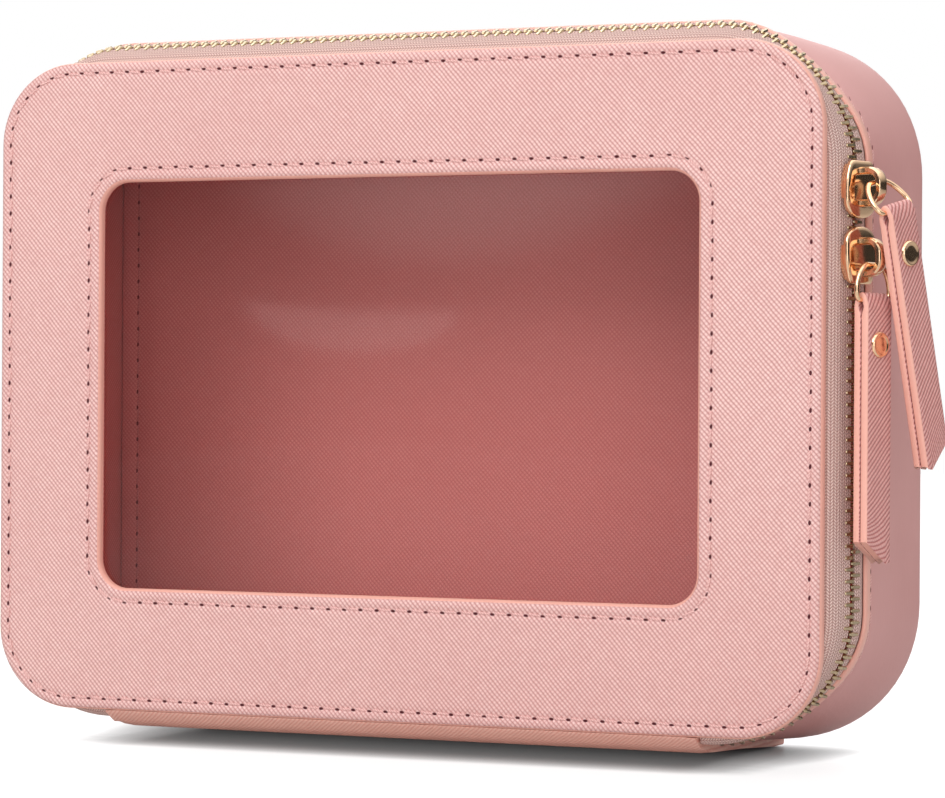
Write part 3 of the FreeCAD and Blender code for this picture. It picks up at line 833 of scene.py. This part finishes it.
def thick_line(points):
    """Closed section of the tape's thickness about an open line of (out, back) points."""
    half = TAPE_THICK / 2
    normals = line_normals(points)
    inside = [(a - m * half, b - n * half) for (a, b), (m, n) in zip(points, normals)]
    outside = [(a + m * half, b + n * half) for (a, b), (m, n) in zip(points, normals)]
    return inside + outside[::-1]


def smooth_line(points, n=5):
    """Catmull-Rom curve through the points."""
    out = []
    padded = [points[0]] + points + [points[-1]]
    for i in range(1, len(padded) - 2):
        p0, p1, p2, p3 = padded[i - 1:i + 3]
        for k in range(n):
            t = k / n
            out.append(tuple(0.5 * (2 * b + (c - a) * t + (2 * a - 5 * b + 4 * c - d) * t * t
                                    + (3 * b - a - 3 * c + d) * t ** 3)
                             for a, b, c, d in zip(p0, p1, p2, p3)))
    out.append(points[-1])
    return out


def tapes():
    front = smooth_line([(-4.6, 3.5), (-1.5, 3.5), (0.5, 3.62), (2.1, 5.2), chain_point(-2.6),
                         chain_point(-0.75)])
    obj = band("front_tape", thick_line(front), "tape", full=False)
    place(obj, "window_lid", "zip_tape", "front_zipper_tape")
    rear = smooth_line([chain_point(0.75), chain_point(2.6), (4.85, 14.6), (3.95, 17.3), (3.95, 20.0),
                        (3.95, 24.0)])
    obj = band("rear_tape", thick_line(rear), "tape", full=False)
    place(obj, "case_body", "zip_tape", "rear_zipper_tape")


def octagon(half_a, half_b):
    """(a, b) points of a block's outline with cut corners, anticlockwise."""
    cut = 0.6
    corners = ((-1, -cut), (-cut, -1), (cut, -1), (1, -cut), (1, cut), (cut, 1), (-cut, 1), (-1, cut))
    return [(a * half_a, b * half_b) for a, b in corners]


def tooth_row(name, side):
    """A row of cast teeth. Each head reaches between two teeth of the other row."""
    layers = [(-0.5, 0.42, 0.3), (-0.25, 0.68, 0.42), (0.3, 0.82, 0.5), (0.75, 0.8, 0.52),
              (1.0, 0.66, 0.44), (2.1, 0.6, 0.42), (2.45, 0.56, 0.38), (2.6, 0.4, 0.28)]
    stations = loop_walk(outline_rect(-CHAIN_OUT), PANEL_R + EASE + CHAIN_OUT, TOOTH_PITCH, STRIP_X + 0.8)
    soup = Soup()
    for x, z, heading in stations[(0 if side < 0 else 1)::2]:
        along, outward = directions(heading)
        b_dir = outward * math.sin(TILT) + Vector((0, math.cos(TILT), 0))
        n_dir = outward * math.cos(TILT) - Vector((0, math.sin(TILT), 0))
        x, z = tucked(x, z, CHAIN_BACK, heading)
        centre = Vector((x, FRONT + CHAIN_BACK, MID_Z + z))
        rows = [[tuple(centre + b_dir * (side * reach) + along * p + n_dir * q)
                 for p, q in octagon(half_wide, half_high)] for reach, half_high, half_wide in layers]
        soup.grid(rows, close_v=True, flip=side > 0)
        soup.ends(rows, flip=side > 0)
    return soup.object(name, ["teeth"])


def teeth():
    place(tooth_row("front_teeth", -1), "window_lid", "zip_metal", "front_zipper_teeth")
    place(tooth_row("rear_teeth", 1), "case_body", "zip_metal", "rear_zipper_teeth")


# ---------------- sliders and pulls

# each pull is drawn with x across its slider, y outwards and z towards the strap's end
BAND = Vector((math.sin(TILT), math.cos(TILT), 0))
NORMAL = Vector((math.cos(TILT), -math.sin(TILT), 0))
DOWN = Vector((0, 0, -1))


def chain_spot(b, n, height):
    """Point near the right-hand chain: across it, out from it, above the panel centre."""
    origin = Vector((CORNER_X + PANEL_R + CHAIN_OUT, FRONT + CHAIN_BACK, MID_Z + height))
    return origin + BAND * b + NORMAL * n


def local_frame(origin, x, y, z):
    matrix = Matrix((x, y, z)).transposed().to_4x4()
    matrix.translation = origin
    return matrix


def slider_outline(half_w, half_l):
    """Round nose at -Z, sides that close in to a blunt tail. Anticlockwise in (x, z)."""
    shoulder = -half_l + half_w * 0.78
    points = [(-half_w * math.cos(a), shoulder - (shoulder + half_l) * math.sin(a) ** 0.9)
              for a in steps(0, math.pi, 14)]
    side = [(1.0, 0.22), (0.985, 0.42), (0.93, 0.62), (0.84, 0.8), (0.76, 0.92), (0.66, 0.985), (0.5, 1.0)]
    tail = [(half_w * w, shoulder + (half_l - shoulder) * f) for w, f in side]
    return points + tail + [(-x, z) for x, z in reversed(tail)]


def slider_plate(soup, half_w, half_l, layers, top):
    """One plate, from (scale, y) layers."""
    rows = [[(x * scale, y, z * (1 - (1 - scale) * 0.9)) for x, z in slider_outline(half_w, half_l)]
            for scale, y in layers]
    soup.grid(rows, close_v=True, flip=not top)
    soup.ends(rows, flip=not top)


def slider_rail(soup, side, half_w, plate_y, lip_y, wide):
    """The turned-in rail along one side of a plate, tapering towards the tail."""
    start, end = -2.1, 5.5
    way = 1 if plate_y > 0 else -1
    rows = []
    for t in steps(0.0, 1.0, 8):
        z = start + t * (end - start)
        taper = 1.0 if t < 0.35 else 1 - 0.22 * ((t - 0.35) / 0.65) ** 1.6
        edge = half_w * taper
        soft = 0.25 * max(0.0, 1 - 6 * min(t, 1 - t))
        y = lip_y + soft * way
        rows.append([(side * edge, plate_y, z), (side * edge, y + 0.15 * way, z),
                     (side * (edge - 0.12), y, z), (side * (edge - wide), y, z),
                     (side * (edge - wide), plate_y, z)])
    flip = (side > 0) != (plate_y > 0)
    soup.grid(rows, close_v=True, flip=flip)
    soup.ends(rows, flip=flip)


def slider_mesh(name, matrix):
    """Two plates with rails between which the teeth run."""
    top_w, bottom_w, half_l = 5.2, 4.0, 6.4
    soup = Soup()
    slider_plate(soup, top_w, half_l, [(0.86, 1.3), (0.99, 1.32), (1.0, 1.5), (1.0, 2.05), (0.985, 2.3),
                                       (0.94, 2.5), (0.84, 2.6), (0.6, 2.72)], True)
    slider_plate(soup, bottom_w, half_l - 0.6, [(0.9, -1.3), (0.99, -1.35), (1.0, -1.6), (0.97, -2.3),
                                                (0.85, -2.6)], False)
    for side in (-1, 1):
        slider_rail(soup, side, top_w, 1.5, 0.42, 0.75)
        slider_rail(soup, side, bottom_w, -1.5, -0.45, 0.6)
    soup.move(matrix)
    return soup.object(name, ["gold"])


def arch_line(half_l, top, radius, foot):
    """(z, y) points over an upside-down U."""
    waist = (foot + top - radius) / 2
    turn = [(radius * math.cos(a), radius * math.sin(a)) for a in steps(0, math.pi / 2, 7)]
    points = [(-half_l, foot), (-half_l, waist)]
    points += [(-half_l + radius - across, top - radius + up) for across, up in turn]
    points += [(half_l - radius + across, top - radius + up) for across, up in reversed(turn)]
    return points + [(half_l, waist), (half_l, foot)]


def bail_mesh(name, matrix):
    """C-shaped bridge of oval-edged strip over the slider."""
    half_l, top, foot, wall, wide, forward = 4.4, 8.5, 2.3, 1.65, 2.5, 0.5
    line = arch_line(half_l - wall / 2, top - wall / 2, 2.9, foot)
    quarter = [(1, 0.55), (0.8, 0.9), (0.5, 1)]
    upper = quarter + [(-p, q) for p, q in reversed(quarter)]
    oval = [(p, -q) for p, q in reversed(upper)] + upper
    rows = []
    for (z, y), (nz, ny) in zip(line, line_normals(line)):
        flare = 1.0 + 0.35 * max(0.0, 1 - (y - foot) / 1.2)
        rows.append([(p * wide / 2 * flare, y + ny * q * wall / 2, z + nz * q * wall / 2 + forward)
                     for p, q in oval])
    soup = Soup()
    soup.grid(rows, close_v=True, flip=True)
    soup.ends(rows)
    soup.move(matrix)
    return soup.object(name, ["gold"])


def ring_mesh(name, matrix):
    """Closed wire ring, narrow in the bail and wide at the strap."""
    half = [(1.2, 0.0), (2.7, 0.15), (4.3, 1.5), (5.35, 3.6), (5.75, 5.6), (5.45, 7.2),
            (4.5, RING_REACH), (2.5, RING_REACH)]
    around = half + [(-x, z) for x, z in reversed(half)]
    smooth = smooth_line(around[-1:] + around + around[:1], 4)
    line = [Vector(p) for p in smooth[4:-4]]
    rows = []
    for i, p in enumerate(line):
        t = (line[(i + 1) % len(line)] - line[i - 1]).normalized()
        rows.append([(p.x + t.y * RING_WIRE_R * math.cos(a), RING_WIRE_R * math.sin(a),
                      p.y - t.x * RING_WIRE_R * math.cos(a)) for a in steps(0, 2 * math.pi, 12)[:-1]])
    soup = Soup()
    soup.grid(rows, close_u=True, close_v=True)
    soup.move(matrix)
    return soup.object(name, ["gold"])


def strap_path():
    """(y, z, half thickness) up the rear ply, round the ring's bar and down the front ply."""
    ply = [(1.0, z, 0.9) for z in (STRAP_LONG, 57.9, 56.5, 54.5, 52.0, 48.0, 42.0, 36.0, 30.0, 24.0, 18.0,
                                   13.0, 9.0, 6.5, 4.6, 3.2)]
    loop = [(1.3 * math.cos(a), 1.65 - 1.3 * math.sin(a) - 1.4 * math.sin(a) ** 2, 0.65)
            for a in steps(0, math.pi, 12)]
    return ply + loop + [(-y, z, half) for y, z, half in reversed(ply)]


def slanted(z, toward):
    """Draws the strap's end in to a slant; toward is the place across it, from -1 to 1 (long side)."""
    turn = 0.78
    if toward < turn:
        limit = STRAP_SHORT + (toward + 1) / (1 + turn) * (STRAP_LONG - STRAP_SHORT)
    else:
        limit = STRAP_LONG - (toward - turn) / (1 - turn) * 1.6
    share = max(0.0, (z - 46.0) / (STRAP_LONG - 46.0))
    return z - share * (STRAP_LONG - limit)


def strap_mesh(name, matrix, rear_long):
    """Leather folded over the ring bar: two plies, a loop, rounded painted edges, slanting end."""
    path = strap_path()
    rounded = [(1, 0.6), (0.975, 0.86), (0.92, 1), (0.6, 1), (0.2, 1)]
    upper = rounded + [(-p, q) for p, q in reversed(rounded)]
    outline = [(p, -q) for p, q in reversed(upper)] + upper
    long_side = 1 if rear_long else -1
    rows = []
    for (y, z, half), (ny, nz) in zip(path, line_normals([(y, z) for y, z, half in path])):
        rows.append([(p * STRAP_HALF_W, y - ny * q * half, slanted(z, p * long_side) - nz * q * half)
                     for p, q in outline])
    lengths = [0.0]
    for (ay, az, half), (by, bz, half) in zip(path, path[1:]):
        lengths.append(lengths[-1] + math.hypot(by - ay, bz - az))
    widths = [0.0]
    ring = rows[4]
    for a, c in zip(ring, ring[1:] + ring[:1]):
        widths.append(widths[-1] + (Vector(a) - Vector(c)).length)
    soup = Soup()
    soup.grid(rows, lengths, widths, close_v=True, flip=True)
    painted = (0, 1, 8, 9, 10, 11, 18, 19)
    soup.indices = [1 if j in painted else 0 for j in range(len(outline))] * (len(rows) - 1)
    soup.cap(rows[0], index=1)
    soup.cap(rows[-1], index=1, flip=True)
    reach, half = STRAP_HALF_W - 0.4, 0.12
    seam = [(-reach, -half), (reach, -half), (reach, half), (-reach, half)]
    soup.grid([[(x, y, z) for x, y in seam] for z in (4.2, 52.0)], close_v=True, index=2)
    soup.move(matrix)
    return soup.object(name, ["strap", "edge", "seam"], 50)


def lathe(name, matrix, profile):
    """Turned metal piece about the rivet's axis, from (radius, y) points."""
    rows = [[(r * math.cos(a), y, RIVET_DROP + r * math.sin(a)) for r, y in profile]
            for a in steps(0, 2 * math.pi, 32)[:-1]]
    soup = Soup()
    soup.grid(rows, close_u=True)
    soup.move(matrix)
    return soup.object(name, ["gold"], 30)


def pull(side, slider, ring, tab, rear_long):
    def gold(obj, body, node):
        place(obj, side + body, "gold_metal", side + node)

    gold(slider_mesh(side + "_slider", slider), "_slider", "_slider_body")
    gold(bail_mesh(side + "_bail", slider), "_slider", "_slider_bail")
    gold(ring_mesh(side + "_ring_wire", ring), "_ring", "_pull_ring")
    strap = strap_mesh(side + "_strap", tab, rear_long)
    place(strap, side + "_tab", "saffiano_leather", side + "_tab_strap")
    cap = [(0.0, 2.36), (1.6, 2.33), (2.1, 2.36), (2.35, 2.5), (2.6, 2.52), (2.8, 2.34), (2.9, 2.05),
           (2.85, 1.8)]
    gold(lathe(side + "_rivet", tab, cap), "_tab", "_tab_rivet_cap")
    post = [(2.0, -1.85), (2.05, -2.1), (1.9, -2.35), (1.5, -2.45), (0.0, -2.48)]
    gold(lathe(side + "_rivet_back", tab, post), "_tab", "_tab_rivet_post")


def pulls():
    """The lower pull hangs straight down; the upper one leans out and fans across it."""
    slider = local_frame(chain_spot(0, 0, 29.6), BAND, NORMAL, DOWN)
    bar = chain_spot(0, 5.6, 27.4)
    pull("lower", slider, local_frame(bar, BAND, NORMAL, DOWN),
         local_frame(bar + DOWN * RING_REACH, BAND, NORMAL, DOWN), True)

    slider = local_frame(chain_spot(0, 0, 44.1), -BAND, NORMAL, -DOWN)
    bar = chain_spot(0.1, 6.1, 45.5)
    fan = math.radians(13.5)
    across = BAND * math.cos(fan) - DOWN * math.sin(fan)
    hang = BAND * math.sin(fan) + DOWN * math.cos(fan)
    lean = math.asin(4.65 / RING_REACH)
    drop = hang * math.cos(lean) + NORMAL * math.sin(lean)
    face = NORMAL * math.cos(lean) - hang * math.sin(lean)
    pull("upper", slider, local_frame(bar, across, face, drop),
         local_frame(bar + drop * RING_REACH, across, NORMAL, hang), False)


# ---------------- boards, shown as CAD

def paint_boards():
    for name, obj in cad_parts.items():
        if name.endswith("_board"):
            obj.data.materials.clear()
            obj.data.materials.append(LOOKS["board"])


# ---------------- stage

def soft_light(name, place_mm, target_mm, size_m, power):
    data = bpy.data.lights.new(name, "AREA")
    data.shape = "RECTANGLE"
    data.size, data.size_y = size_m
    data.energy = power
    obj = bpy.data.objects.new(name, data)
    obj.location = Vector(place_mm) * MM
    obj.rotation_euler = (Vector(target_mm) - Vector(place_mm)).to_track_quat("-Z", "Y").to_euler()
    bpy.context.scene.collection.objects.link(obj)


def lamp_image(n, direction, centre, half, bright, soft, flat_top=False):
    """A soft-edged oval lamp in front of the case, by its direction; only reflections show it."""
    across = n.math("DIVIDE", n.minus(direction[0], centre[0]), half[0])
    up = n.math("DIVIDE", n.minus(direction[2], centre[1]), half[1])
    far = n.plus(n.times(across, across), n.times(up, up))
    lamp = n.fade(far, 1.0 - soft, 1.0, bright, 0.0)
    lamp = n.times(lamp, n.math("LESS_THAN", direction[1], 0.0))
    if flat_top:
        lamp = n.times(lamp, n.fade(up, 0.0, 0.12, 1.0, 0.0))
    return lamp


def studio_world():
    """White to the camera, soft light all round, and bright and dark parts for shiny things to show."""
    world = bpy.data.worlds.new("studio")
    bpy.context.scene.world = world
    n = Nodes(world, "OutputWorld")
    direction = n.split(n.add("TexCoord"))
    overhead = n.times(n.fade(direction[2], 0.15, 0.7, 0.0, 1.0), 1.1)
    side = n.math("ABSOLUTE", n.plus(direction[0], 0.25))
    card = n.times(n.fade(side, 0.3, 0.5, 1.0, 0.0), 0.18)
    wall = n.times(n.math("LESS_THAN", direction[0], -0.1), n.math("GREATER_THAN", direction[1], 0.5))
    lamp = lamp_image(n, direction, centre=(-0.421, 0.0375), half=(0.036, 0.0185), bright=1.3, soft=0.12,
                      flat_top=True)
    haze = lamp_image(n, direction, centre=(-0.378, 0.088), half=(0.085, 0.034), bright=1.9, soft=1.0)
    mirror = n.plus(overhead, card)
    for part in (0.04, wall, lamp, haze):
        mirror = n.plus(mirror, part)
    ambient = 0.62
    glossy_ray = n.add("LightPath", output=3)
    soft = n.plus(n.times(glossy_ray, n.minus(mirror, ambient)), ambient)
    camera_ray = n.add("LightPath", output=0)
    strength = n.plus(n.times(camera_ray, n.minus(1.0, soft)), soft)
    n.show(n.add("Background", {"Color": (1, 1, 1, 1), "Strength": strength}))


def white_floor():
    """White table: keeps only a soft shadow near the case and a faint reflection."""
    n = new_material("floor_white")
    near = n.add("AmbientOcclusion", {"Distance": 8 * MM}, output=1)
    seen = n.add("LightPath", output=0)
    glow = n.add("Emission", {"Color": (1, 1, 1, 1), "Strength": n.times(n.times(near, 1.02), seen)})
    tone = n.mix(seen, (0.62, 0.615, 0.61, 1), (0.13, 0.125, 0.125, 1))
    matt = n.add("BsdfDiffuse", {"Color": tone})
    shine = n.add("BsdfGlossy", {"Color": (1, 1, 1, 1), "Roughness": 0.3})
    white = n.add("AddShader", {0: matt, 1: glow})
    mesh = bpy.data.meshes.new("floor")
    half_m = 3.0
    corners = [(-half_m, -half_m, 0), (half_m, -half_m, 0), (half_m, half_m, 0), (-half_m, half_m, 0)]
    mesh.from_pydata(corners, [], [(0, 1, 2, 3)])
    mesh.materials.append(n.show(n.add("MixShader", {0: 0.14, 1: white, 2: shine})))
    floor = bpy.data.objects.new("floor", mesh)
    bpy.context.scene.collection.objects.link(floor)
    floor.location.z = -0.2 * MM


def stage():
    bpy.context.scene.view_settings.view_transform = "Standard"
    studio_world()
    white_floor()
    middle = (0, 0, 85)
    soft_light("key", (-150, -950, 800), middle, (0.9, 0.6), 5.8)
    soft_light("front", (500, -1000, 200), middle, (0.6, 0.6), 2.0)
    soft_light("top", (0, 60, 900), (0, 0, 80), (1.2, 1.2), 3.0)


def camera():
    data = bpy.data.cameras.new("camera")
    data.sensor_fit = "HORIZONTAL"
    data.sensor_width = 36.0
    data.lens = 126.98
    data.clip_start = 0.01
    obj = bpy.data.objects.new("camera", data)
    yaw, roll = math.radians(22.703), math.radians(0.358)
    forward = Vector((-math.sin(yaw), math.cos(yaw), 0))
    right = Vector((math.cos(yaw), math.sin(yaw), 0))
    up = Vector((0, 0, 1))
    right, up = right * math.cos(roll) + up * math.sin(roll), up * math.cos(roll) - right * math.sin(roll)
    obj.matrix_world = local_frame(Vector((314.44, -737.01, 82.87)) * MM, right, up, -forward)
    bpy.context.scene.collection.objects.link(obj)
    bpy.context.scene.camera = obj


paint_boards()
lid_panel()
edge_paint()
window_sheet()
lid_lining()
all_threads()
body_sides()
body_back()
rim_fold()
hinge_leather()
tapes()
teeth()
pulls()
stage()
camera()
